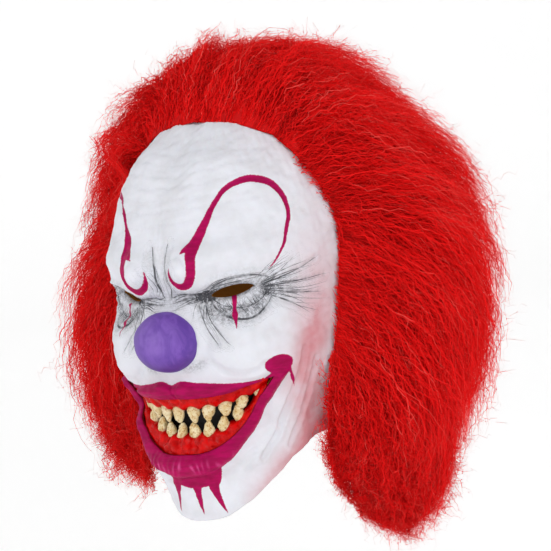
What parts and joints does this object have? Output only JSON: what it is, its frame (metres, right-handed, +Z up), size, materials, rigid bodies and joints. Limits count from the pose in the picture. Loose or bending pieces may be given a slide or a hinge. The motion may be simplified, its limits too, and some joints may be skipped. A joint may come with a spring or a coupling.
{
  "type": "clown mask",
  "caption": "Latex over-the-head clown mask with a ball nose, a toothed grin and a bushy wool wig.",
  "frame": {"origin": "middle of the wearer's head at eye level, the point that holds the mask up", "axes": "+Z up through the crown, -Y the way the face looks, +X towards the mask's own left ear"},
  "size_m": [0.3278, 0.3136, 0.3407],
  "materials": {
    "latex_white": "matt painted latex, airbrushed shading and magenta paint",
    "latex_purple": "matt painted latex",
    "liner_black": "matt black latex",
    "gum_red": "satin red painted latex",
    "tooth_ivory": "satin ivory paint with brown stain in the pits",
    "wool_red": "matt crimped synthetic wool fibre"
  },
  "bodies": {
    "root": {"face_shell": "latex_white", "hair_back_middle": "wool_red", "hair_back_upper": "wool_red", "hair_crown": "wool_red", "hair_fall_left": "wool_red", "hair_fall_right": "wool_red", "hair_front_roll": "wool_red", "hair_nape": "wool_red", "hair_side_left": "wool_red", "hair_side_right": "wool_red", "hair_temple_left": "wool_red", "hair_temple_right": "wool_red", "lower_gum": "gum_red", "lower_tooth_1": "tooth_ivory", "lower_tooth_2": "tooth_ivory", "lower_tooth_3": "tooth_ivory", "lower_tooth_4": "tooth_ivory", "lower_tooth_5": "tooth_ivory", "lower_tooth_6": "tooth_ivory", "lower_tooth_7": "tooth_ivory", "lower_tooth_8": "tooth_ivory", "mouth_liner": "liner_black", "nose_ball": "latex_purple", "rear_shell": "latex_white", "upper_gum": "gum_red", "upper_tooth_1": "tooth_ivory", "upper_tooth_2": "tooth_ivory", "upper_tooth_3": "tooth_ivory", "upper_tooth_4": "tooth_ivory", "upper_tooth_5": "tooth_ivory", "upper_tooth_6": "tooth_ivory", "upper_tooth_7": "tooth_ivory", "upper_tooth_8": "tooth_ivory", "upper_tooth_9": "tooth_ivory", "upper_tooth_10": "tooth_ivory"}
  },
  "joints": []
}
